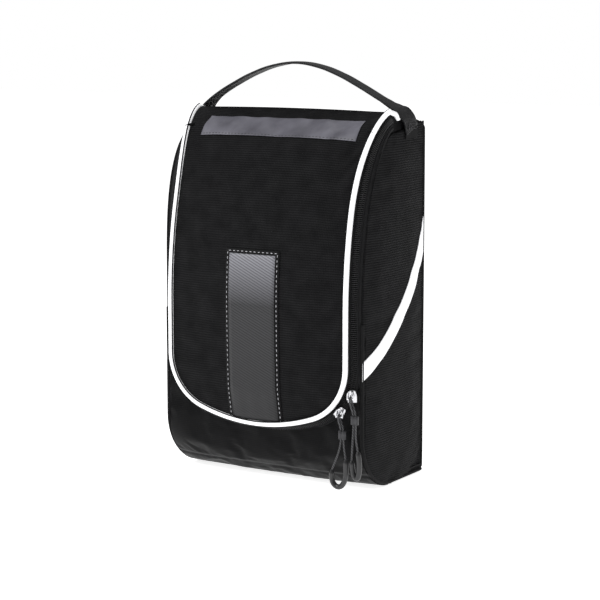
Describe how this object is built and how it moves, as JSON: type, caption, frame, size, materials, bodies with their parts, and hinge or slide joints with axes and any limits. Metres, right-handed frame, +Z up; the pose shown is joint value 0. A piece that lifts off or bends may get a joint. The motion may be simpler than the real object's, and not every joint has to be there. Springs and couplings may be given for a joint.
{
  "type": "golf shoe bag",
  "caption": "Upright padded bag for a pair of golf shoes, with a U-shaped zipped front flap, white piping, a side stripe, a top carry handle and two corded zipper pulls.",
  "frame": {"origin": "middle of the bag's footprint, on the surface it stands on, where the base face meets the floor", "axes": "+Z up, -Y towards the flap side, +X to the right seen from the front"},
  "size_m": [0.2077, 0.1222, 0.3593],
  "materials": {
    "shell_fabric": "woven polyester, fine horizontal rib",
    "lining_fabric": "plain woven nylon lining",
    "black_binding": "woven cord-filled piping",
    "white_piping": "smooth PVC-covered cord piping",
    "white_stripe": "coated white fabric band",
    "zip_tape": "woven zipper tape",
    "zip_coil": "moulded nylon coil",
    "label_satin": "satin coated patch",
    "trim_satin": "satin twill strip",
    "board": "polyethylene stiffener board",
    "foam": "closed-cell foam sheet",
    "webbing": "woven nylon webbing",
    "slider_metal": "bright nickel plated zinc",
    "pull_cord": "braided cord",
    "ferrule_plastic": "moulded sleeve, satin",
    "grip_rubber": "soft moulded tube, slightly glossy"
  },
  "bodies": {
    "bag": {"base_panel": "shell_fabric", "base_board": "board", "base_lining": "lining_fabric", "back_panel": "shell_fabric", "back_board": "board", "back_lining": "lining_fabric", "front_lower_panel": "shell_fabric", "front_lower_lining": "lining_fabric", "top_rear_panel": "shell_fabric", "zip_tape_body": "zip_tape", "zip_coil_body": "zip_coil", "side_panel_left": "shell_fabric", "side_lining_left": "lining_fabric", "side_stripe_left": "white_stripe", "side_piping_left": "black_binding", "shoulder_left": "shell_fabric", "handle_tab_left": "webbing", "side_panel_right": "shell_fabric", "side_lining_right": "lining_fabric", "side_stripe_right": "white_stripe", "side_piping_right": "black_binding", "shoulder_right": "shell_fabric", "handle_tab_right": "webbing"},
    "flap": {"flap_panel": "shell_fabric", "flap_foam": "foam", "flap_lining": "lining_fabric", "flap_piping": "white_piping", "zip_tape_flap": "zip_tape", "zip_coil_flap": "zip_coil", "label_patch": "label_satin", "trim_backing": "black_binding", "trim_strip": "trim_satin"},
    "handle": {"handle_strap": "webbing"},
    "slider_up": {"slider_upper": "slider_metal"},
    "slider_low": {"slider_lower": "slider_metal"},
    "pull_up": {"upper_pull_cord": "pull_cord", "upper_pull_ferrule": "ferrule_plastic", "upper_pull_grip": "grip_rubber"},
    "pull_low": {"lower_pull_cord": "pull_cord", "lower_pull_ferrule": "ferrule_plastic", "lower_pull_grip": "grip_rubber"}
  },
  "joints": [
    {"name": "flap_hinge", "type": "hinge", "parent": "bag", "child": "flap", "pos_m": [0, -0.002, 0.31823], "axis": [-1, 0, 0], "range_deg": [0, 90]},
    {"name": "handle_swing", "type": "hinge", "parent": "bag", "child": "handle", "pos_m": [0, 0.03, 0.308], "axis": [-1, 0, 0], "range_deg": [0, 95]},
    {"name": "upper_slider_travel", "type": "slide", "parent": "bag", "child": "slider_up", "axis": [0.0256, 0, 0.9997], "range_m": [0, 0.09]},
    {"name": "lower_slider_travel", "type": "hinge", "parent": "bag", "child": "slider_low", "pos_m": [0.0405, -0.057, 0.10792], "axis": [0, 1, 0], "range_deg": [0, 7]},
    {"name": "upper_pull_swing", "type": "hinge", "parent": "slider_up", "child": "pull_up", "pos_m": [0.0949, -0.0607, 0.0855], "axis": [-1, 0, 0], "range_deg": [0, 100]},
    {"name": "lower_pull_swing", "type": "hinge", "parent": "slider_low", "child": "pull_low", "pos_m": [0.08391, -0.06014, 0.06951], "axis": [-1, 0, 0], "range_deg": [0, 100]}
  ]
}
